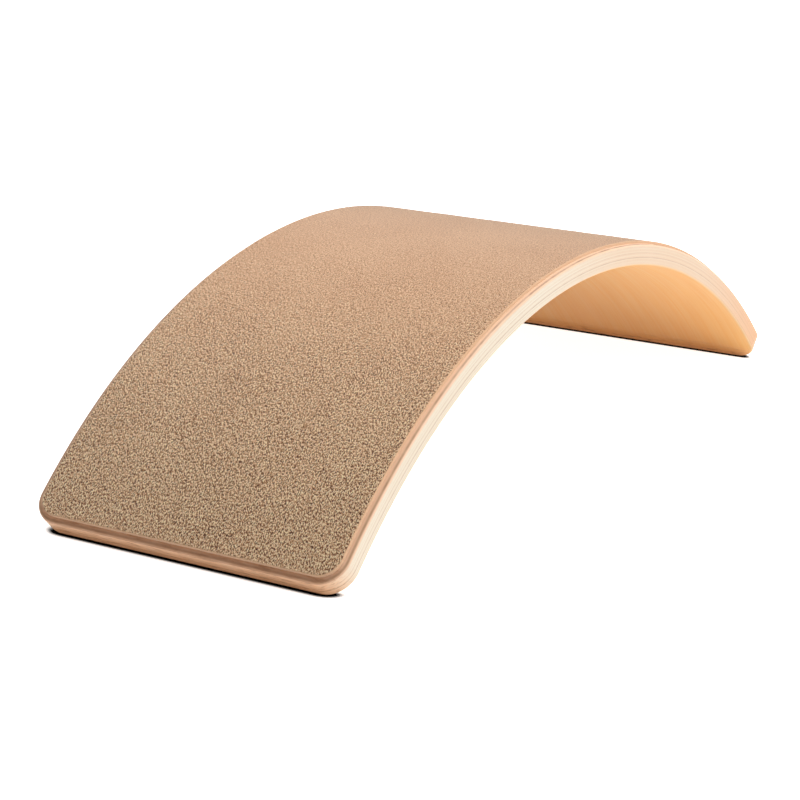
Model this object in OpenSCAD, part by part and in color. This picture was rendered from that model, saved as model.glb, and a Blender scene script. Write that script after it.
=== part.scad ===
// Curvy balance board: a bent-laminated plywood arch with a felt mat bonded to its convex face.
// It stands bridge-up on its two ends. X runs along the board, Y across it, and Z up from the floor.
// The origin is on the floor, midway between the ends and midway across the board.

/* [Plywood arch] */
// Width of the board
board_w = 300; // [200:5:420]
// Radius of the concave face, as the press mould gives it
mould_r = 566; // [420:1:900]
// Opening angle of the arch, from the outer edge of one end to that of the other
arch_angle = 91.2; // [60:0.2:110]
// Thickness of one pressed veneer
veneer_t = 1.5; // [0.8:0.1:2.2]
// Radius of the four corners, seen square to the face
corner_r = 24; // [10:1:60]
// Width and depth of the eased arris round both faces
edge_ease = 1.3; // [0.5:0.1:3]
// Depth to which the two feet are sanded flat
foot_flat = 0.2; // [0.1:0.05:1]

/* [Felt mat] */
// Thickness of the felt
felt_t = 2.8; // [2:0.1:6]
// Thickness of the adhesive film that holds the felt down
film_t = 0.2; // [0.1:0.05:0.5]
// Bare plywood between the felt and the eased arris, all round
felt_border = 4.1; // [0.5:0.1:20]
// Least radius that the felt's corners are cut to, where the board's corners are tight
felt_corner_min = 3; // [1:0.5:10]

/* [Hidden] */
$fn = 180;
// How far cutting shapes run past what they cut
overrun = 1;
// How far turned shapes run past the end or the crown that they are cut to
margin_angle = 4;

VENEERS = [
    "veneer_01_top_face", "veneer_02_crossband", "veneer_03_long_grain", "veneer_04_crossband",
    "veneer_05_long_grain", "veneer_06_crossband", "veneer_07_long_grain", "veneer_08_crossband",
    "veneer_09_long_grain", "veneer_10_crossband", "veneer_11_long_grain", "veneer_12_crossband",
    "veneer_13_under_face"
];

// Radii of the layers, from the concave face outwards
veneer_count = len(VENEERS);
outer_r = mould_r + veneer_count * veneer_t;
film_r = outer_r + film_t;
felt_r = film_r + felt_t;

// Angle from the crown to the plane through the centres of an end's two corners
corner_angle = arch_angle / 2 - asin(corner_r / outer_r);

// The felt's corners run concentric with the board's, and its ends square to the face
felt_inset = edge_ease + felt_border;
felt_corner_r = max(corner_r - felt_inset, felt_corner_min);
felt_end_angle = arch_angle / 2 - felt_inset / outer_r * 180 / PI;
felt_corner_angle = felt_end_angle - asin(felt_corner_r / outer_r);

// How far a face falls away from its tangent plane over the length of a corner
function corner_fall(r, corner) = r - sqrt(r * r - corner * corner);

// Edge lines as pairs of set-back and radius, run past the inner and outer face.
// The inner runs are rounded up, so that the sides and the ends draw exactly the same line.
inner_run = ceil(corner_fall(mould_r, corner_r) + overrun);
BOARD_EDGE = [
    [edge_ease + inner_run, mould_r - inner_run],
    [0, mould_r + edge_ease],
    [0, outer_r - edge_ease],
    [edge_ease + overrun, outer_r + overrun]
];
felt_inner_run = ceil(corner_fall(outer_r, felt_corner_r) + overrun);
FELT_EDGE = [
    [0, outer_r - felt_inner_run],
    [0, felt_r + overrun]
];

// The eased inner arris of an end meets the end face at one point and the concave face at the other.
// The lower of the two, less the sanded flat, rests on the floor.
function foot_height(x, z) = z * cos(corner_angle) - x * sin(corner_angle);
ease_offset = corner_r - edge_ease - mould_r;
ease_foot_z = (sqrt(2 * mould_r * mould_r - ease_offset * ease_offset) - ease_offset) / 2;
ease_foot_x = ease_foot_z + ease_offset;
axis_z = -foot_flat - min(
    foot_height(corner_r, mould_r + edge_ease),
    foot_height(ease_foot_x, ease_foot_z)
);

// One end beyond its corner centres: a straight middle and two quarter-round corners
module rounded_end(half_w, corner, edge) {
    inner_z = edge[0][1];
    outer_z = edge[len(edge) - 1][1];
    section = concat([[0, inner_z]], [for (e = edge) [corner - e[0], e[1]]], [[0, outer_z]]);
    translate([0, half_w - corner, 0])
        rotate([90, 0, 0])
            linear_extrude(height = 2 * (half_w - corner))
                polygon(section);
    for (side = [0, 1])
        mirror([0, side, 0])
            translate([0, half_w - corner, 0])
                rotate_extrude(angle = 90)
                    polygon(section);
}

// Turns a section, drawn as radius and place across the board, from the radius Z back over the crown
module turned_back(angle) {
    rotate([90, 0, 0])
        rotate([0, 0, 90])
            rotate_extrude(angle = angle)
                children();
}

// The outline of a bent sheet with its eased edges, thicker than any layer in it.
// Each half is drawn at its end, with Z along the radius through the corner centres, and ends at the crown.
module bent_blank(half_w, angle, corner, edge) {
    section = concat(
        [for (e = edge) [e[1], half_w - e[0]]],
        [for (i = [len(edge) - 1 : -1 : 0]) [edge[i][1], edge[i][0] - half_w]]
    );
    for (end = [0, 1])
        mirror([end, 0, 0])
            intersection() {
                translate([0, 0, axis_z])
                    rotate([0, angle, 0]) {
                        turned_back(angle + margin_angle)
                            polygon(section);
                        rounded_end(half_w, corner, edge);
                    }
                translate([0, -half_w - overrun, axis_z])
                    cube([felt_r + overrun, 2 * (half_w + overrun), felt_r + 2 * overrun]);
            }
}

// The ring between two radii that one layer is cut from
module layer_ring(inner, outer) {
    ring_angle = arch_angle / 2 + margin_angle;
    translate([0, 0, axis_z])
        rotate([0, ring_angle, 0])
            turned_back(2 * ring_angle)
                translate([inner, -board_w / 2 - overrun])
                    square([outer - inner, board_w + 2 * overrun]);
}

// The floor, which the feet are sanded to
module below_floor() {
    depth = corner_r + edge_ease;
    translate([-outer_r, -board_w / 2 - overrun, -depth])
        cube([2 * outer_r, board_w + 2 * overrun, depth]);
}

// One veneer, counted from the convex face
module veneer(layer) {
    face = layer == 0 || layer == veneer_count - 1;
    crossband = layer % 2 == 1;
    outer = outer_r - layer * veneer_t;
    color(face ? "burlywood" : crossband ? "tan" : "bisque")
        difference() {
            intersection() {
                bent_blank(board_w / 2, corner_angle, corner_r, BOARD_EDGE);
                layer_ring(outer - veneer_t, outer);
            }
            below_floor();
        }
}

// A layer with the felt's outline
module felt_layer(inner, outer) {
    intersection() {
        bent_blank(board_w / 2 - felt_inset, felt_corner_angle, felt_corner_r, FELT_EDGE);
        layer_ring(inner, outer);
    }
}

module felt_adhesive_film() {
    color("ivory")
        felt_layer(outer_r, film_r);
}

module felt_mat() {
    color("rosybrown")
        felt_layer(film_r, felt_r);
}

for (layer = [0 : veneer_count - 1])
    veneer(layer);
felt_adhesive_film();
felt_mat();
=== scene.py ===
"""Curvy balance board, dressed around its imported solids: a bent plywood arch with a felt mat on its back.

Each veneer, the adhesive film and the felt is a piece of its own, laid out along the bend of the solids.
"""

import logging
import math
from dataclasses import dataclass, field
from enum import Enum

import bpy
import numpy as np
from mathutils import Matrix, Vector


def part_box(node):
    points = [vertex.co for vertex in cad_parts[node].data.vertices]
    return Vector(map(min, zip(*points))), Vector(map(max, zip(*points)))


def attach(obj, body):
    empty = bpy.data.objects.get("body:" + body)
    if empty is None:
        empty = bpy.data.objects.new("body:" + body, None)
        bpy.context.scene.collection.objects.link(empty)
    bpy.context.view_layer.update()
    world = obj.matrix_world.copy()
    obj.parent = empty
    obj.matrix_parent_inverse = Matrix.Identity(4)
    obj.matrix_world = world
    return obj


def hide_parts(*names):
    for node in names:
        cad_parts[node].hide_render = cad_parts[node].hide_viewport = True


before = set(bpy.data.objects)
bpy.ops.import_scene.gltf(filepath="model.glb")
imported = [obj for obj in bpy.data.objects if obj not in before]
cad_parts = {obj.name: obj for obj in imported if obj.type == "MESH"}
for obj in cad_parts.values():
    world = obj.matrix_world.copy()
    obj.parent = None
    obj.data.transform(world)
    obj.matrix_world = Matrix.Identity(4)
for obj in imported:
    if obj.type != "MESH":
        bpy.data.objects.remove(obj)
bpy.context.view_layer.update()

log = logging.getLogger("balance_board")

MM = 0.001
BODY = "root"

# Names of the numbers that are stored on the meshes and read by the finishes
LAY = "lay"
GLUE = "glue"
TONE = "tone"
NAP_AND_PAINTED_SHADE = "nap_and_painted_shade"
EDGE = "edge"
END = "end"
WARM = "warm"

Colour = tuple[float, float, float]
Triple = tuple[float, float, float]
# A value's low and high end, and what they become
Spread = tuple[float, float, float, float]


class Grain(Enum):
    """Which way a veneer's grain runs, and whether it is a face of the plywood, whose grain runs along."""

    TOP = "top_face"
    UNDER = "under_face"
    LONG = "long_grain"
    CROSS = "crossband"


def linear(red: int, green: int, blue: int) -> Colour:
    """Turn a display colour into the linear one that shaders take.

    Args:
        red: Red from 0 to 255.
        green: Green from 0 to 255.
        blue: Blue from 0 to 255.

    Returns:
        The three linear values.
    """

    def channel(value: int) -> float:
        """Give one linear value."""
        share = value / 255
        return share / 12.92 if share <= 0.04045 else ((share + 0.055) / 1.055) ** 2.4

    return channel(red), channel(green), channel(blue)


class Shader:
    """A material's node tree, with short calls to add nodes and join them."""

    def __init__(self, name: str) -> None:
        """Make an empty material with its output.

        Args:
            name: The material's name.
        """
        self.material = bpy.data.materials.new(name)
        self.material.use_nodes = True
        self.tree = self.material.node_tree
        self.tree.nodes.clear()
        self.output = self.tree.nodes.new("ShaderNodeOutputMaterial")

    def add(self, kind: str, **settings: object) -> bpy.types.Node:
        """Add a node.

        Args:
            kind: The node's type, without its prefix.
            settings: Properties to set on it.

        Returns:
            The node.
        """
        node = self.tree.nodes.new("ShaderNode" + kind)
        for key, value in settings.items():
            setattr(node, key, value)
        return node

    def join(self, source: bpy.types.NodeSocket, target: bpy.types.NodeSocket) -> None:
        """Link an output to an input."""
        self.tree.links.new(source, target)

    def attribute(self, name: str, output: str) -> bpy.types.NodeSocket:
        """Read one of the mesh's own attributes.

        Args:
            name: The attribute's name.
            output: The node's output, Vector or Fac.

        Returns:
            That output.
        """
        return self.add("Attribute", attribute_name=name).outputs[output]

    def stretched(self, vector: bpy.types.NodeSocket, scale: Triple) -> bpy.types.NodeSocket:
        """Scale a place along each axis.

        Args:
            vector: The place.
            scale: Features per metre along the board, across it and through it.

        Returns:
            The scaled place.
        """
        node = self.add("VectorMath", operation="MULTIPLY")
        self.join(vector, node.inputs[0])
        node.inputs[1].default_value = scale
        return node.outputs["Vector"]

    def turned(self, vector: bpy.types.NodeSocket, angle: float, size: Triple) -> bpy.types.NodeSocket:
        """Turn a place within the sheet, and measure it in features.

        Args:
            vector: The place.
            angle: Turn from the board's length, in degrees.
            size: Length, width and depth of a feature.

        Returns:
            The turned and scaled place.
        """
        node = self.add("Mapping", vector_type="TEXTURE")
        node.inputs["Rotation"].default_value = (0.0, 0.0, math.radians(angle))
        node.inputs["Scale"].default_value = size
        self.join(vector, node.inputs["Vector"])
        return node.outputs["Vector"]

    def noise(
        self, vector: bpy.types.NodeSocket, detail: float, rough: float = 0.5
    ) -> bpy.types.NodeSocket:
        """Add a noise pattern with features about one unit across.

        Args:
            vector: The scaled place.
            detail: Octaves of finer noise.
            rough: Strength of the finer octaves.

        Returns:
            The pattern, from 0 to 1.
        """
        node = self.add("TexNoise")
        node.inputs["Scale"].default_value = 1.0
        node.inputs["Detail"].default_value = detail
        node.inputs["Roughness"].default_value = rough
        self.join(vector, node.inputs["Vector"])
        return node.outputs["Fac"]

    def sum(
        self, parts: list[tuple[bpy.types.NodeSocket, float]], start: float = 0.0
    ) -> bpy.types.NodeSocket:
        """Add up weighted values.

        Args:
            parts: Values with their weights.
            start: A constant to start from.

        Returns:
            The sum.
        """
        total: bpy.types.NodeSocket | None = None
        for value, weight in parts:
            node = self.add("Math", operation="MULTIPLY_ADD")
            self.join(value, node.inputs[0])
            node.inputs[1].default_value = weight
            if total is None:
                node.inputs[2].default_value = start
            else:
                self.join(total, node.inputs[2])
            total = node.outputs[0]
        return total

    def times(self, first: bpy.types.NodeSocket, second: bpy.types.NodeSocket) -> bpy.types.NodeSocket:
        """Multiply two values.

        Args:
            first: One value.
            second: The other.

        Returns:
            The product.
        """
        node = self.add("Math", operation="MULTIPLY")
        self.join(first, node.inputs[0])
        self.join(second, node.inputs[1])
        return node.outputs[0]

    def ramp(self, value: bpy.types.NodeSocket, stops: list[tuple[float, Colour]]) -> bpy.types.NodeSocket:
        """Colour a value by a row of stops.

        Args:
            value: The value.
            stops: Places from 0 to 1 with their linear colours.

        Returns:
            The colour.
        """
        node = self.add("ValToRGB")
        elements = node.color_ramp.elements
        while len(elements) < len(stops):
            elements.new(0.5)
        for element, (place, colour) in zip(elements, stops):
            element.position = place
            element.color = (*colour, 1.0)
        self.join(value, node.inputs["Fac"])
        return node.outputs["Color"]

    def spread(
        self, value: bpy.types.NodeSocket, low: float, high: float, to_low: float, to_high: float
    ) -> bpy.types.NodeSocket:
        """Stretch a range of values over another, and hold it there.

        Args:
            value: The value.
            low: Start of its range.
            high: End of its range.
            to_low: What the start becomes.
            to_high: What the end becomes.

        Returns:
            The stretched value.
        """
        node = self.add("MapRange")
        for place, number in enumerate((low, high, to_low, to_high), start=1):
            node.inputs[place].default_value = number
        self.join(value, node.inputs["Value"])
        return node.outputs["Result"]

    def blend(
        self, share: bpy.types.NodeSocket, base: bpy.types.NodeSocket, over: Colour
    ) -> bpy.types.NodeSocket:
        """Lay a colour over another by a share that varies.

        Args:
            share: How much of it, from 0 to 1.
            base: The colour underneath.
            over: The linear colour laid on.

        Returns:
            The mixed colour.
        """
        node = self.add("Mix", data_type="RGBA", blend_type="MIX")
        self.join(share, node.inputs["Factor"])
        self.join(base, node.inputs["A"])
        node.inputs["B"].default_value = (*over, 1.0)
        return node.outputs["Result"]

    def bump(self, height: bpy.types.NodeSocket, strength: float, distance: float) -> bpy.types.NodeSocket:
        """Turn a height into a bent normal.

        Args:
            height: The height, from 0 to 1.
            strength: How much of it shows.
            distance: Height of 1, in metres.

        Returns:
            The normal.
        """
        node = self.add("Bump")
        node.inputs["Strength"].default_value = strength
        node.inputs["Distance"].default_value = distance
        self.join(height, node.inputs["Height"])
        return node.outputs["Normal"]

    def surface(self, **values: object) -> bpy.types.Node:
        """Add the main surface shader and join it to the output.

        Args:
            values: Its constant inputs, with underscores for spaces.

        Returns:
            The shader node.
        """
        node = self.add("BsdfPrincipled")
        for key, value in values.items():
            node.inputs[key.replace("_", " ")].default_value = value
        self.join(node.outputs["BSDF"], self.output.inputs["Surface"])
        return node


@dataclass(frozen=True)
class VeneerFinish:
    """Sanded and lacquered veneer, with grain that runs one way through its whole thickness.

    Scales are features per metre. Those of streaks and pores are given along the grain, across it and
    through the sheet, and the others along the board, across it and through it.
    """

    slot: str
    light: Colour
    dark: Colour
    pore: Colour
    grain: Grain
    figure: float
    pores: float
    # The colour taken at the board's ends: end grain, with the warmer cast of the shaded end faces painted
    # in.
    end: Colour = linear(255, 199, 152)
    glue: Colour = linear(160, 110, 72)
    warm: Colour = linear(220, 165, 115)
    streak_scale: Triple = (7.0, 420.0, 700.0)
    pore_scale: Triple = (60.0, 2600.0, 2600.0)
    cloud_scale: Triple = (5.0, 9.0, 60.0)
    figure_scale: Triple = (0.9, 11.0, 0.0)
    fleck_scale: Triple = (300.0, 55.0, 600.0)
    patch_scale: Triple = (60.0, 60.0, 0.0)
    streak_weight: float = 0.9
    cloud_weight: float = 0.5
    tone_weight: float = 0.15
    middle: float = -0.2
    pore_range: tuple[float, float] = (0.60, 0.75)
    pale_fleck: Spread = (0.35, 0.5, 0.7, 0.95)
    dark_fleck: Spread = (0.53, 0.65, 0.0, 0.6)
    patchiness: Spread = (0.35, 0.6, 0.6, 1.15)
    roughness: Spread = (0.3, 0.7, 0.40, 0.54)
    coat: float = 0.12
    relief: float = 0.15 * MM

    def by_grain(self, scale: Triple) -> Triple:
        """Turn a scale that is given along the grain into one along the board."""
        along, across, through = scale
        return (across, along, through) if self.grain is Grain.CROSS else scale

    def make(self) -> bpy.types.Material:
        """Make the material.

        Returns:
            The material.
        """
        shader = Shader(self.slot)
        lay = shader.attribute(LAY, "Vector")
        streak = shader.noise(shader.stretched(lay, self.by_grain(self.streak_scale)), 3.0, 0.6)
        pore = shader.noise(shader.stretched(lay, self.by_grain(self.pore_scale)), 1.0)
        cloud = shader.noise(shader.stretched(lay, self.cloud_scale), 2.0)
        wave = shader.add("TexWave", bands_direction="Y")
        for key, value in (("Scale", 1.0), ("Distortion", 5.0), ("Detail", 2.0), ("Detail Scale", 0.6)):
            wave.inputs[key].default_value = value
        shader.join(shader.stretched(lay, self.figure_scale), wave.inputs["Vector"])
        parts = [
            (streak, self.streak_weight),
            (cloud, self.cloud_weight),
            (wave.outputs["Fac"], self.figure),
            (shader.attribute(TONE, "Fac"), self.tone_weight),
        ]
        value = shader.sum(parts, start=self.middle - self.figure / 2)
        colour = shader.ramp(value, [(0.2, self.light), (0.8, self.dark)])
        colour = shader.blend(shader.spread(pore, *self.pore_range, 0.0, self.pores), colour, self.pore)
        colour = shader.blend(shader.attribute(WARM, "Fac"), colour, self.warm)
        end = shader.attribute(END, "Fac")
        fleck = shader.noise(shader.stretched(lay, self.fleck_scale), 3.0, 0.6)
        colour = shader.blend(shader.times(end, shader.spread(fleck, *self.pale_fleck)), colour, self.end)
        colour = shader.blend(shader.times(end, shader.spread(fleck, *self.dark_fleck)), colour, self.glue)
        patch = shader.noise(shader.stretched(lay, self.patch_scale), 2.0)
        stain = shader.times(shader.attribute(GLUE, "Fac"), shader.spread(patch, *self.patchiness))
        colour = shader.blend(stain, colour, self.glue)
        node = shader.surface(Coat_Weight=self.coat, Coat_Roughness=0.3, Specular_IOR_Level=0.4)
        shader.join(colour, node.inputs["Base Color"])
        shader.join(shader.spread(streak, *self.roughness), node.inputs["Roughness"])
        height = shader.sum([(streak, 0.7), (pore, 0.3)])
        shader.join(shader.bump(height, 0.25, self.relief), node.inputs["Normal"])
        return shader.material


@dataclass(frozen=True)
class FeltFinish:
    """Brushed needle felt: short strands that lie mostly along the board, over and under each other."""

    slot: str = "felt"
    # The ramp's dark and pale ends are partly the fibres' own mottling and partly painted relief: painted
    # shade in the hollows, painted highlights on the tips.
    hollow_and_painted_shade: Colour = linear(80, 46, 27)
    shade: Colour = linear(189, 136, 95)
    body: Colour = linear(234, 188, 149)
    tip_and_painted_highlight: Colour = linear(255, 231, 187)
    cut: Colour = linear(224, 184, 148)
    stops: tuple[float, ...] = (0.385, 0.465, 0.53, 0.61)
    lie: tuple[tuple[float, float], ...] = ((6.0, 0.45), (48.0, 0.30), (-42.0, 0.30))
    strand: Triple = (2.1 * MM, 0.9 * MM, 1.4 * MM)
    strand_detail: float = 0.8
    cloud_scale: Triple = (11.0, 11.0, 11.0)
    cloud_weight: float = 0.03
    middle: float = 0.487
    edge_calm: float = 0.3
    edge_cover: float = 0.85
    relief: float = 1.5 * MM
    sheen: float = 0.7
    sheen_tint: Colour = (1.0, 0.92, 0.84)

    def make(self) -> bpy.types.Material:
        """Make the material.

        Returns:
            The material.
        """
        shader = Shader(self.slot)
        lay = shader.attribute(LAY, "Vector")
        strands = []
        for angle, share in self.lie:
            place = shader.turned(lay, angle, self.strand)
            strands.append((shader.noise(place, self.strand_detail), share))
        # The noise has a mean of a half, so this puts the strands' mean at 0.
        level = -0.5 * sum(share for _, share in self.lie)
        cloud = shader.noise(shader.stretched(lay, self.cloud_scale), 2.0)
        nap_and_painted_shade = shader.attribute(NAP_AND_PAINTED_SHADE, "Fac")
        edge = shader.attribute(EDGE, "Fac")
        # The strands' relief mark scales the bump and also the painted shade and highlight in the colour.
        rough = shader.times(shader.sum(strands, start=level), nap_and_painted_shade)
        calm = shader.times(rough, shader.spread(edge, 0.0, 1.0, 1.0, self.edge_calm))
        value = shader.sum([(calm, 1.0), (cloud, self.cloud_weight)], start=self.middle)
        tints = list(zip(self.stops, (self.hollow_and_painted_shade, self.shade, self.body, self.tip_and_painted_highlight)))
        cover = shader.spread(edge, 0.0, 1.0, 0.0, self.edge_cover)
        colour = shader.blend(cover, shader.ramp(value, tints), self.cut)
        node = shader.surface(
            Roughness=0.95,
            Specular_IOR_Level=0.15,
            Sheen_Weight=self.sheen,
            Sheen_Roughness=0.4,
            Sheen_Tint=(*self.sheen_tint, 1.0),
        )
        shader.join(colour, node.inputs["Base Color"])
        shader.join(shader.bump(calm, 1.0, self.relief), node.inputs["Normal"])
        return shader.material


@dataclass(frozen=True)
class FilmFinish:
    """The milky adhesive film under the felt."""

    slot: str = "adhesive"
    clear: Colour = linear(226, 214, 190)
    milky: Colour = linear(240, 233, 216)
    flow_scale: Triple = (60.0, 90.0, 400.0)
    roughness: Spread = (0.3, 0.7, 0.3, 0.5)
    relief: float = 0.1 * MM

    def make(self) -> bpy.types.Material:
        """Make the material.

        Returns:
            The material.
        """
        shader = Shader(self.slot)
        lay = shader.attribute(LAY, "Vector")
        flow = shader.noise(shader.stretched(lay, self.flow_scale), 2.0)
        node = shader.surface(Specular_IOR_Level=0.5)
        shader.join(shader.ramp(flow, [(0.3, self.clear), (0.7, self.milky)]), node.inputs["Base Color"])
        shader.join(shader.spread(flow, *self.roughness), node.inputs["Roughness"])
        shader.join(shader.bump(flow, 0.3, self.relief), node.inputs["Normal"])
        return shader.material


@dataclass(frozen=True)
class Ring:
    """One line round a layer: its radius from the bend's axis, its set-back from the edge and its stain."""

    radius: float
    setback: float
    glue: float = 0.0


@dataclass
class Bend:
    """The bend of the whole board, in metres and radians. Its axis runs across it, below the floor."""

    width: float = 0.300
    mould_radius: float = 0.566
    half_angle: float = math.radians(45.6)
    veneer: float = 1.5 * MM
    veneers: int = 13
    corner: float = 24 * MM
    film: float = 0.2 * MM
    felt: float = 2.8 * MM
    felt_inset: float = 5.4 * MM
    axis_height: float = field(init=False)

    def __post_init__(self) -> None:
        """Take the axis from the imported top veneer, whose crown is one outer radius above it."""
        self.axis_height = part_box("veneer_01_top_face")[1].z - self.outer_radius

    @property
    def outer_radius(self) -> float:
        """Radius of the plywood's convex face."""
        return self.mould_radius + self.veneers * self.veneer

    @property
    def film_radius(self) -> float:
        """Radius of the film's outer face, which the felt lies on."""
        return self.outer_radius + self.film

    @property
    def felt_radius(self) -> float:
        """Radius of the felt's outer face."""
        return self.film_radius + self.felt

    @property
    def felt_corner(self) -> float:
        """Radius of the felt's corners, which run concentric with the board's."""
        return self.corner - self.felt_inset

    def board_outline(self, arc_steps: int, columns: int) -> "Outline":
        """Give the board's outline.

        Args:
            arc_steps: Steps along the bend between the corners.
            columns: Points across the board.

        Returns:
            The outline.
        """
        corner_angle = self.half_angle - math.asin(self.corner / self.outer_radius)
        return Outline(self, self.width / 2, self.corner, corner_angle, arc_steps, columns)

    def felt_outline(self, arc_steps: int, columns: int) -> "Outline":
        """Give the felt's outline.

        Args:
            arc_steps: Steps along the bend between the corners.
            columns: Points across the board.

        Returns:
            The outline.
        """
        end_angle = self.half_angle - self.felt_inset / self.outer_radius
        corner_angle = end_angle - math.asin(self.felt_corner / self.outer_radius)
        half_width = self.width / 2 - self.felt_inset
        return Outline(self, half_width, self.felt_corner, corner_angle, arc_steps, columns)


@dataclass
class Outline:
    """A bent sheet's outline, laid out as stations along the board and columns across it.

    Between the corners a station is a plain angle. Beyond them it sweeps round the quarter circles of an
    end, drawn flat on the end's own tangent plane.
    """

    bend: Bend
    half_width: float
    corner: float
    corner_angle: float
    arc_steps: int
    columns: int
    corner_steps: int = 16
    turn_power: float = 1.3

    def __post_init__(self) -> None:
        """Lay out the stations, the columns and the walk round the rim."""
        sweep = np.linspace(0, math.pi / 2, self.corner_steps + 1)[1:]
        arc = np.linspace(-self.corner_angle, self.corner_angle, self.arc_steps + 1)
        end = np.full(self.corner_steps, self.corner_angle)
        self.angles = np.concatenate([-end, arc, end])
        self.sweeps = np.concatenate([-sweep[::-1], np.zeros(len(arc)), sweep])
        self.shares = np.linspace(-1, 1, self.columns)
        last, side = len(self.angles) - 1, self.columns - 1
        walk = [(i, 0) for i in range(last)]
        walk += [(last, c) for c in range(side)]
        walk += [(i, side) for i in range(last, 0, -1)]
        walk += [(0, c) for c in range(side, 0, -1)]
        self.rim = np.array(walk)

    def place(
        self, stations: np.ndarray, columns: np.ndarray, radius: np.ndarray, setback: np.ndarray
    ) -> np.ndarray:
        """Find points of the bent sheet.

        Args:
            stations: Numbers of their stations.
            columns: Numbers of their columns.
            radius: Their distances from the bend's axis.
            setback: How far the edge is drawn in there.

        Returns:
            The points, one row each.
        """
        angle, sweep = self.angles[stations], self.sweeps[stations]
        reach = self.corner - setback
        along = reach * np.sin(sweep)
        across = (self.half_width - self.corner + reach * np.cos(sweep)) * self.shares[columns]
        out = np.sqrt(radius**2 - along**2)
        x = along * np.cos(angle) + out * np.sin(angle)
        z = out * np.cos(angle) - along * np.sin(angle) + self.bend.axis_height
        return np.stack(np.broadcast_arrays(x, across, z), axis=-1)

    def sheet(self, radius: np.ndarray | float, setback: float) -> np.ndarray:
        """Give all points of a face.

        Args:
            radius: One radius, or one for each point.
            setback: How far its edge is drawn in.

        Returns:
            The points, one row each.
        """
        stations, columns = np.indices((len(self.angles), self.columns)).reshape(2, -1)
        return self.place(stations, columns, np.asarray(radius).reshape(-1), np.asarray(setback))

    def loop(self, radius: np.ndarray | float, setback: np.ndarray | float) -> np.ndarray:
        """Give the points of a line round the rim.

        Args:
            radius: One radius, or one for each point.
            setback: One set-back, or one for each point.

        Returns:
            The points, one row each.
        """
        return self.place(self.rim[:, 0], self.rim[:, 1], np.asarray(radius), np.asarray(setback))

    def rim_numbers(self) -> np.ndarray:
        """Give the rim's points as numbers in a face."""
        return self.rim[:, 0] * self.columns + self.rim[:, 1]

    def face_quads(self) -> np.ndarray:
        """Give the quads of a face, turned outwards.

        Returns:
            The numbers of each quad's points, one row each.
        """
        numbers = np.arange(len(self.angles) * self.columns).reshape(-1, self.columns)
        corners = numbers[:-1, :-1], numbers[1:, :-1], numbers[1:, 1:], numbers[:-1, 1:]
        return np.stack(corners, axis=-1).reshape(-1, 4)

    def plain_strips(self) -> list[list[int]]:
        """Give the strips of a face that has points on its rim alone, turned inwards.

        Returns:
            The strips, each as places along the rim.
        """
        last, side = len(self.angles) - 1, self.columns - 1
        back, whole = 2 * last + side, len(self.rim)
        strips = [[back - i, back - i - 1, i + 1, i] for i in range(1, last - 1)]
        strips.append(list(range(last + side + 1, last - 2, -1)))
        strips.append([1, 0, *range(whole - 1, back - 2, -1)])
        return strips

    def rim_turn(self) -> np.ndarray:
        """Tell how far each point of the rim has turned from a long side, at 0, to an end, at 1."""
        return np.abs(np.sin(self.sweeps[self.rim[:, 0]])) ** self.turn_power


@dataclass
class Layer:
    """A closed mesh of one bent layer: an outer face, lines round the rim and a plain inner face."""

    outline: Outline
    name: str

    def mesh(
        self, outer: np.ndarray, loops: list[np.ndarray], marks: dict[str, np.ndarray], sharp: float
    ) -> bpy.types.Object:
        """Build the mesh.

        Args:
            outer: Points of the outer face.
            loops: Points of the lines round the rim, from the outer face to the edge of the inner one.
            marks: Named numbers, one for each point, which the finish reads.
            sharp: Angle above which an edge is shaded as a sharp one.

        Returns:
            The new piece.
        """
        points = np.concatenate([outer, *loops])
        rim = self.outline.rim_numbers()
        lines = [rim]
        lines += [len(outer) + i * len(rim) + np.arange(len(rim)) for i in range(len(loops))]
        polygons = self.outline.face_quads().tolist()
        for upper, lower in zip(lines, lines[1:]):
            strip = np.stack([upper, lower, np.roll(lower, -1), np.roll(upper, -1)], axis=-1)
            polygons += strip.tolist()
        polygons += [[int(lines[-1][i]) for i in strip] for strip in self.outline.plain_strips()]
        mesh = bpy.data.meshes.new(self.name)
        mesh.from_pydata(points.tolist(), [], polygons)
        self.mark(mesh, points, marks)
        mesh.shade_smooth()
        mesh.set_sharp_from_angle(angle=sharp)
        mesh.validate()
        piece = bpy.data.objects.new(self.name, mesh)
        bpy.context.scene.collection.objects.link(piece)
        return piece

    def mark(self, mesh: bpy.types.Mesh, points: np.ndarray, marks: dict[str, np.ndarray]) -> None:
        """Store on the mesh where each point lies in the flat layer, and the named numbers.

        Args:
            mesh: The mesh.
            points: Its points.
            marks: The named numbers.
        """
        bend = self.outline.bend
        up = points[:, 2] - bend.axis_height
        along = np.arctan2(points[:, 0], up) * bend.outer_radius
        depth = bend.outer_radius - np.hypot(points[:, 0], up)
        lay = mesh.attributes.new(LAY, "FLOAT_VECTOR", "POINT")
        lay.data.foreach_set("vector", np.stack([along, points[:, 1], depth], axis=-1).ravel())
        for name, numbers in marks.items():
            mark = mesh.attributes.new(name, "FLOAT", "POINT")
            mark.data.foreach_set("value", np.asarray(numbers, dtype=float))


def join_board(piece: bpy.types.Object, node: str, material: bpy.types.Material) -> None:
    """Make a piece stand for its CAD node.

    Args:
        piece: The new piece.
        node: The CAD node that it replaces.
        material: Its finish.
    """
    piece.data.materials.append(material)
    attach(piece, BODY)
    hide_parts(node)
    log.info("%s stands for %s: %d faces", piece.name, node, len(piece.data.polygons))


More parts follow.
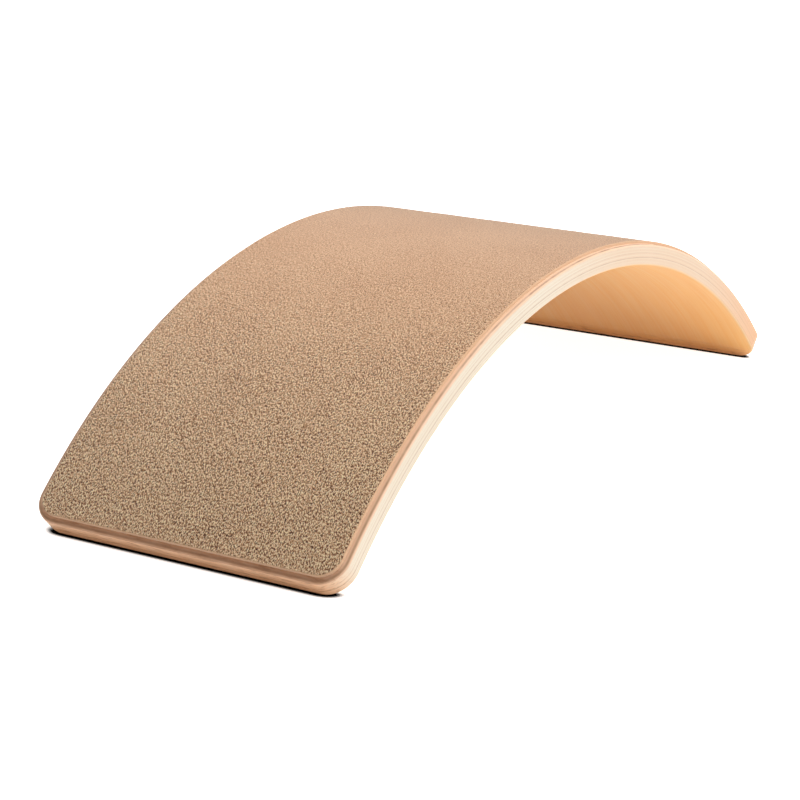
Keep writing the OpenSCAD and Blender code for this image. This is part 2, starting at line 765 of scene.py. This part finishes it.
@dataclass
class Plywood:
    """The thirteen bent veneers, with a rounded arris on both faces and a fine glue line at each joint."""

    bend: Bend
    arc_steps: int = 180
    columns: int = 2
    round_over: float = 2 * MM
    under_round: float = 2.6 * MM
    groove: float = 0.015 * MM
    line_width: float = 0.12 * MM
    dark_joints: tuple[tuple[int, float], ...] = ((5, 0.35), (8, 0.85))
    dark_width: float = 0.42 * MM
    pale_glue: float = 0.06
    burnish: tuple[tuple[float, float], ...] = (
        (3.6 * MM, 0.0),
        (2.9 * MM, 0.30),
        (2.3 * MM, 0.52),
        (1.8 * MM, 0.58),
        (1.3 * MM, 0.48),
        (0.9 * MM, 0.20),
        (0.6 * MM, 0.0),
    )
    tones: tuple[float, ...] = (0.1, -0.3, 0.35, 0.0, -0.5, 0.5, -0.1, 0.3, -0.4, 0.1, 0.55, -0.35, 0.2)
    levels: int = 10
    warm_places: tuple[float, ...] = (-0.10, 0.05, 0.25, 0.41)
    warm_shares: tuple[float, ...] = (0.0, 0.32, 0.42, 1.0)
    burnish_places: tuple[float, ...] = (-0.2, 0.1)
    burnish_shares: tuple[float, ...] = (1.0, 1.6)
    warm_glue_loss: float = 0.6
    ring_gap: float = 0.1 * MM
    sharp: float = math.radians(40)

    def finishes(self) -> dict[Grain, VeneerFinish]:
        """Give the finish of each kind of veneer.

        Returns:
            The finishes by grain.
        """
        top = VeneerFinish(
            slot="face_veneer",
            light=linear(248, 210, 178),
            dark=linear(238, 196, 162),
            pore=linear(204, 156, 120),
            grain=Grain.TOP,
            figure=0.20,
            pores=0.25,
            # At the board's ends the top face's border takes this darker brown: a painted shadow of the
            # felt across it.
            end=linear(206, 152, 114),
        )
        # The under face is the same veneer as the top one; its deeper, more saturated orange is painted
        # warm bounce light and shade from the hollow under the arch.
        under = VeneerFinish(
            slot="face_veneer",
            light=linear(248, 198, 122),
            dark=linear(245, 184, 105),
            pore=linear(230, 160, 88),
            grain=Grain.UNDER,
            figure=0.12,
            pores=0.15,
            warm=linear(234, 200, 158),
        )
        long_grain = VeneerFinish(
            slot="long_grain_veneer",
            light=linear(231, 221, 202),
            dark=linear(224, 209, 185),
            pore=linear(204, 168, 132),
            grain=Grain.LONG,
            figure=0.05,
            pores=0.20,
        )
        crossband = VeneerFinish(
            slot="crossband_veneer",
            light=linear(229, 215, 195),
            dark=linear(219, 200, 175),
            pore=linear(196, 158, 122),
            grain=Grain.CROSS,
            figure=0.0,
            pores=0.25,
        )
        return {finish.grain: finish for finish in (top, under, long_grain, crossband)}

    def grain_of(self, number: int) -> Grain:
        """Tell a veneer's grain.

        Args:
            number: The veneer, from 0 at the convex face.

        Returns:
            Its grain.
        """
        if number == 0:
            return Grain.TOP
        if number == self.bend.veneers - 1:
            return Grain.UNDER
        return Grain.CROSS if number % 2 else Grain.LONG

    def setback(self, depth: float) -> float:
        """Find how far the rounded arrises draw the edge in.

        Args:
            depth: Distance from the convex face.

        Returns:
            The set-back.
        """
        thickness = self.bend.veneers * self.bend.veneer
        found = 0.0
        for radius, inside in ((self.round_over, depth), (self.under_round, thickness - depth)):
            gap = radius - min(max(inside, 0.0), radius)
            found = max(found, radius - math.sqrt(radius**2 - gap**2))
        return found

    def rings(self, number: int) -> list[Ring]:
        """Lay out the lines round one veneer, with its glue lines drawn in and the top arris burnished.

        Args:
            number: The veneer, from 0 at the convex face.

        Returns:
            The lines, from the outer face inwards.
        """
        bend, found = self.bend, []
        dark, stains = dict(self.dark_joints), {}
        for joint, place in ((number, 0.0), (number + 1, bend.veneer)):
            if 0 < joint < bend.veneers:
                stains[place] = dark.get(joint, self.pale_glue)
        places = {bend.veneer * i / self.levels for i in range(self.levels + 1)}
        for place in stains:
            width = self.dark_width if stains[place] > self.pale_glue else self.line_width
            places = {p for p in places if p == place or abs(p - place) > width}
            places.add(abs(place - width))
        for place in sorted(places):
            depth = number * bend.veneer + place
            stain = stains.get(place, 0.0)
            drawn_in = self.groove if stain else 0.0
            found.append(Ring(bend.outer_radius - depth, self.setback(depth) + drawn_in, stain))
        return found if number else self.burnished(found)

    def burnished(self, rings: list[Ring]) -> list[Ring]:
        """Start the top veneer's lines on its flat face, and brown its arris where sanding burnished it.

        Args:
            rings: Its lines, from the arris down.

        Returns:
            The lines, from the flat face down.
        """
        top = self.bend.outer_radius
        found = []
        for setback, share in self.burnish:
            reach = max(self.round_over - setback, 0.0)
            depth = self.round_over - math.sqrt(self.round_over**2 - reach**2)
            found.append(Ring(top - depth, setback, share))
        lowest = found[-1].setback
        return found + [ring for ring in rings if ring.setback < lowest - self.ring_gap]

    def veneer(self, outline: Outline, number: int, name: str) -> bpy.types.Object:
        """Build one veneer.

        Args:
            outline: The board's outline.
            number: The veneer, from 0 at the convex face.
            name: The piece's name.

        Returns:
            The piece.
        """
        rings = self.rings(number)
        top = rings[0]
        outer = outline.sheet(top.radius, top.setback)
        loops = [outline.loop(ring.radius, ring.setback) for ring in rings[1:]]
        for points in (outer, *loops):
            points[:, 2] = np.maximum(points[:, 2], 0.0)
        turn = outline.rim_turn()
        on_rim = np.zeros(len(outer))
        on_rim[outline.rim_numbers()] = turn
        glue = [np.full(len(outer), top.glue)]
        glue += [np.full(len(turn), ring.glue) for ring in rings[1:]]
        marks = {GLUE: np.concatenate(glue), END: np.concatenate([on_rim, *[turn for _ in loops]])}
        marks[TONE] = np.full(len(marks[GLUE]), self.tones[number])
        along = np.concatenate([points[:, 0] for points in (outer, *loops)])
        marks[WARM] = self.warmth(number, along, rings, len(turn))
        if number == 0:
            marks[GLUE] *= np.interp(along, self.burnish_places, self.burnish_shares)
        else:
            marks[GLUE] *= 1 - self.warm_glue_loss * np.interp(along, self.warm_places, self.warm_shares)
        return Layer(outline, name).mesh(outer, loops, marks, self.sharp)

    def warmth(self, number: int, along: np.ndarray, rings: list[Ring], rim: int) -> np.ndarray:
        """Find how far each point takes the second colour of its finish.

        Args:
            number: The veneer, from 0 at the convex face.
            along: Places of its points along the board.
            rings: The lines round it, of which the first bounds its outer face.
            rim: Number of points in a line.

        Returns:
            Shares: none on the top face, by place along the core, and by nearness to the edge underneath.
        """
        grain = self.grain_of(number)
        if grain is Grain.TOP:
            return np.zeros(len(along))
        if grain is not Grain.UNDER:
            return np.interp(along, self.warm_places, self.warm_shares)
        inner = np.array([1 - ring.setback / self.under_round for ring in rings[1:]])
        faces = len(along) - rim * len(inner)
        return np.concatenate([np.ones(faces), np.repeat(inner, rim)])

    def build(self) -> None:
        """Build and dress all veneers, from the convex face inwards."""
        outline = self.bend.board_outline(self.arc_steps, self.columns)
        finishes = self.finishes()
        materials = {grain: finish.make() for grain, finish in finishes.items()}
        nodes = sorted(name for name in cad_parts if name.startswith("veneer_"))
        for number, node in enumerate(nodes):
            grain = self.grain_of(number)
            piece = self.veneer(outline, number, node.replace("veneer", "ply"))
            join_board(piece, node, materials[grain])


@dataclass
class Film:
    """The adhesive film between the plywood and the felt."""

    bend: Bend
    arc_steps: int = 180
    columns: int = 2
    sharp: float = math.radians(40)

    def build(self) -> bpy.types.Object:
        """Build and dress the film.

        Returns:
            The piece.
        """
        bend = self.bend
        outline = bend.felt_outline(self.arc_steps, self.columns)
        outer = outline.sheet(bend.film_radius, 0.0)
        loops = [outline.loop(bend.outer_radius, 0.0)]
        piece = Layer(outline, "adhesive_film").mesh(outer, loops, {}, self.sharp)
        finish = FilmFinish()
        join_board(piece, "felt_adhesive_film", finish.make())
        return piece


@dataclass
class FeltMat:
    """The felt: a bonded sheet, cut square, with its upper arris worn a little round, and a relief with
    painted shade and highlight that grow from the crown towards the ends.
    """

    bend: Bend
    arc_steps: int = 490
    columns: int = 160
    sharp: float = math.radians(60)
    worn_round: float = 0.7 * MM
    worn_turns: tuple[float, ...] = (22.5, 45.0, 67.5, 90.0)
    lump_height: float = 0.03 * MM
    lump_length: float = 5.5 * MM
    lump_limit: float = 2.5
    lump_stretch: float = 0.8
    lump_band: float = 0.18
    swell_height: float = 0.04 * MM
    swell_length: float = 70 * MM
    ragged: float = 0.06 * MM
    ragged_run: int = 3
    pressed_share: float = 0.15
    pressed_run: float = 5 * MM
    # Strength of the relief and of its painted shade and highlight, from the crown at 0 to the ends at 1.
    nap_and_painted_shade_places: tuple[float, ...] = (0.0, 0.2, 0.4, 0.63, 0.9)
    nap_and_painted_shade_shares: tuple[float, ...] = (0.4, 0.45, 0.65, 1.12, 1.42)
    seed: int = 41

    def lumps(
        self, rng: np.random.Generator, shape: tuple[int, int], steps: tuple[float, float], length: float
    ) -> np.ndarray:
        """Make smooth random lumps of about one size.

        Args:
            rng: The seeded source of numbers.
            shape: Stations and columns.
            steps: Spacing of the stations and of the columns.
            length: Length of a lump.

        Returns:
            Heights with a mean of 0 and a spread of 1.
        """
        spectrum = np.fft.rfft2(rng.standard_normal(shape))
        along = np.fft.fftfreq(shape[0], steps[0])[:, None]
        across = np.fft.rfftfreq(shape[1], steps[1])[None, :]
        pitch = np.hypot(along, across * self.lump_stretch) * length
        spectrum *= np.exp(-((pitch - 1) ** 2) / self.lump_band)
        heights = np.fft.irfft2(spectrum, shape)
        return (heights - heights.mean()) / heights.std()

    def flat_size(self, outline: Outline) -> tuple[float, float, float]:
        """Find the size that the felt was cut to, along its bonded face.

        Args:
            outline: The felt's outline.

        Returns:
            Its width, its length and its area with the corners cut off.
        """
        width = 2 * outline.half_width
        end = outline.corner_angle + math.asin(outline.corner / self.bend.outer_radius)
        length = 2 * end * self.bend.film_radius
        return width, length, width * length - (4 - math.pi) * outline.corner**2

    def cut_edge(self, outline: Outline, top: np.ndarray, rng: np.random.Generator) -> list[np.ndarray]:
        """Lay out the lines round the felt: a worn arris, then a slightly ragged cut down to the film.

        Args:
            outline: The felt's outline.
            top: Radii of the upper face's points.
            rng: The seeded source of numbers.

        Returns:
            Points of the lines, from the upper face down.
        """
        rim = outline.rim_numbers()
        # The rim is taken three times over, so that its start and its end are smoothed alike.
        rough = np.tile(rng.standard_normal(len(rim)), 3)
        cut = np.convolve(rough, np.full(self.ragged_run, 1 / self.ragged_run), "same")
        cut = cut[len(rim) : 2 * len(rim)] * self.ragged
        loops = []
        for turn in np.radians(self.worn_turns):
            drawn_in = self.worn_round * (1 - math.sin(turn))
            drop = self.worn_round * (1 - math.cos(turn))
            loops.append(outline.loop(top[rim] - drop, drawn_in + cut))
        loops.append(outline.loop(self.bend.film_radius, 0.0))
        return loops

    def marks(self, outline: Outline, lines: int) -> dict[str, np.ndarray]:
        """Tell how far the strands stand out at each point, with their painted shade and highlight, and how
        far the felt is pressed or cut there.

        Args:
            outline: The felt's outline.
            lines: Number of lines round it.

        Returns:
            The named numbers that the finish reads.
        """
        rim = outline.rim_numbers()
        from_end = outline.corner * (1 - np.abs(np.sin(outline.sweeps)))
        from_end += (outline.corner_angle - np.abs(outline.angles)) * self.bend.outer_radius
        pressed = self.pressed_share * np.exp(-((from_end / self.pressed_run) ** 2))
        pressed = np.repeat(pressed, outline.columns)
        from_crown = np.abs(outline.angles) / outline.corner_angle
        nap_and_painted_shade = np.repeat(np.interp(from_crown, self.nap_and_painted_shade_places, self.nap_and_painted_shade_shares), outline.columns)
        return {
            NAP_AND_PAINTED_SHADE: np.concatenate([nap_and_painted_shade, np.tile(nap_and_painted_shade[rim], lines)]),
            EDGE: np.concatenate([pressed, np.ones(len(rim) * lines)]),
        }

    def build(self, film: bpy.types.Object) -> None:
        """Build and dress the felt.

        Args:
            film: The film that it lies on; not used.
        """
        outline = self.bend.felt_outline(self.arc_steps, self.columns)
        shape = len(outline.angles), outline.columns
        width, length, area = self.flat_size(outline)
        steps = length / shape[0], width / shape[1]
        rng = np.random.default_rng(self.seed)
        lumps = self.lumps(rng, shape, steps, self.lump_length).ravel()
        swell = self.lumps(rng, shape, steps, self.swell_length).ravel()
        lumps = np.clip(lumps, -self.lump_limit, self.lump_limit)
        height = lumps * self.lump_height + swell * self.swell_height
        top = self.bend.felt_radius - self.lump_height + height
        loops = self.cut_edge(outline, top, rng)
        outer = outline.sheet(top, self.worn_round)
        marks = self.marks(outline, len(loops))
        piece = Layer(outline, "felt_sheet").mesh(outer, loops, marks, self.sharp)
        finish = FeltFinish()
        join_board(piece, "felt_mat", finish.make())


@dataclass(frozen=True)
class Sun:
    """A broad soft light, far enough away to fall evenly."""

    name: str
    source: Triple
    level: float
    spread: float

    def build(self) -> None:
        """Make the lamp, with a level at which 1 shows a white sheet facing it as white."""
        lamp = bpy.data.lights.new(self.name, "SUN")
        lamp.energy = self.level * math.pi
        lamp.angle = math.radians(self.spread)
        holder = bpy.data.objects.new(self.name, lamp)
        holder.rotation_euler = Vector(self.source).to_track_quat("Z", "Y").to_euler()
        bpy.context.scene.collection.objects.link(holder)


@dataclass
class Studio:
    """A white sweep of floor, soft lamps and the photograph's point of view."""

    floor_size: float = 16.0
    floor_colour: Colour = (0.95, 0.95, 0.95)
    floor_lift: float = 0.9
    floor_glow: float = 0.1
    shade_reach: float = 6 * MM
    shade_range: Spread = (0.5, 0.95, 0.0, 1.0)
    sky_level: float = 0.2
    lamps: tuple[Sun, ...] = (
        Sun("top_softbox", (0.50, 0.0, 0.87), 0.60, 25),
        Sun("window_softbox", (0.30, -0.80, 0.52), 0.59, 30),
    )
    azimuth: float = -59.218
    elevation: float = 16.681
    distance: float = 2.034947
    target: Triple = (-0.078464, 0.0, 0.051376)
    roll: float = 0.536
    lens: float = 101.288
    sensor: float = 36.0

    def shown_rays(self, tree: bpy.types.NodeTree) -> bpy.types.NodeSocket:
        """Tell the rays that show a background apart from those that light the object.

        Args:
            tree: The node tree to add to.

        Returns:
            1 for a ray of the camera, a reflection or a clear piece, else 0.
        """
        path = tree.nodes.new("ShaderNodeLightPath")
        total = path.outputs["Is Camera Ray"]
        for name in ("Is Glossy Ray", "Is Transmission Ray"):
            node = tree.nodes.new("ShaderNodeMath")
            node.operation = "MAXIMUM"
            tree.links.new(total, node.inputs[0])
            tree.links.new(path.outputs[name], node.inputs[1])
            total = node.outputs[0]
        return total

    def floor(self) -> None:
        """Lay a plain pale floor with a painted contact shadow: seen from the camera, its colour and glow
        fall to black close to the board.
        """
        half = self.floor_size / 2
        corners = [(-half, -half, 0), (half, -half, 0), (half, half, 0), (-half, half, 0)]
        mesh = bpy.data.meshes.new("studio_floor")
        mesh.from_pydata(corners, [], [(0, 1, 2, 3)])
        shader = Shader("studio_paper")
        # Seen from the camera, the paper's colour and its lift fall to black within this reach of the
        # board: a painted contact shadow.
        near = shader.add("AmbientOcclusion")
        near.inputs["Distance"].default_value = self.shade_reach
        clear = shader.spread(near.outputs["AO"], *self.shade_range)
        shown = self.shown_rays(shader.tree)
        lit = shader.times(shown, clear)
        painted_contact_shade = shader.add("VectorMath", operation="SCALE")
        painted_contact_shade.inputs[0].default_value = self.floor_colour
        shader.join(shader.sum([(lit, 1.0), (shown, -1.0)], start=1.0), painted_contact_shade.inputs["Scale"])
        paper = shader.add("BsdfDiffuse")
        shader.join(painted_contact_shade.outputs["Vector"], paper.inputs["Color"])
        parts = [(lit, self.floor_lift), (shown, -self.floor_glow)]
        level = shader.sum(parts, start=self.floor_glow)
        glow = shader.add("Emission")
        shader.join(level, glow.inputs["Strength"])
        both = shader.add("AddShader")
        shader.join(paper.outputs["BSDF"], both.inputs[0])
        shader.join(glow.outputs["Emission"], both.inputs[1])
        shader.join(both.outputs["Shader"], shader.output.inputs["Surface"])
        mesh.materials.append(shader.material)
        floor = bpy.data.objects.new("studio_floor", mesh)
        bpy.context.scene.collection.objects.link(floor)

    def sky(self) -> None:
        """Light the room evenly, and show it white."""
        world = bpy.data.worlds.new("studio_room")
        world.use_nodes = True
        tree = world.node_tree
        back = tree.nodes["Background"]
        back.inputs["Color"].default_value = (1.0, 1.0, 1.0, 1.0)
        level = tree.nodes.new("ShaderNodeMath")
        level.operation = "MULTIPLY_ADD"
        tree.links.new(self.shown_rays(tree), level.inputs[0])
        level.inputs[1].default_value = 1.0 - self.sky_level
        level.inputs[2].default_value = self.sky_level
        tree.links.new(level.outputs[0], back.inputs["Strength"])
        bpy.context.scene.world = world

    def camera(self) -> None:
        """Set the camera to the photograph's point of view."""
        turn, rise = math.radians(self.azimuth), math.radians(self.elevation)
        back = Vector((math.sin(turn) * math.cos(rise), -math.cos(turn) * math.cos(rise), math.sin(rise)))
        right = Vector((0, 0, 1)).cross(back).normalized()
        axes = Matrix((right, back.cross(right), back)).transposed().to_4x4()
        lean = Matrix.Rotation(math.radians(self.roll), 4, "Z")
        place = Matrix.Translation(Vector(self.target) + back * self.distance)
        data = bpy.data.cameras.new("photo_view")
        data.lens = self.lens
        data.sensor_width = self.sensor
        camera = bpy.data.objects.new("photo_view", data)
        camera.matrix_world = place @ axes @ lean
        bpy.context.scene.collection.objects.link(camera)
        bpy.context.scene.camera = camera

    def build(self) -> None:
        """Set up the whole studio."""
        self.camera()
        self.floor()
        self.sky()
        for lamp in self.lamps:
            lamp.build()
        bpy.context.scene.view_settings.view_transform = "Standard"


def main() -> None:
    """Build the studio and the board, piece by piece."""
    logging.basicConfig(level=logging.INFO, format="%(name)s: %(message)s")
    Studio().build()
    bend = Bend()
    Plywood(bend).build()
    film = Film(bend).build()
    FeltMat(bend).build(film)


if __name__ == "__main__":
    main()
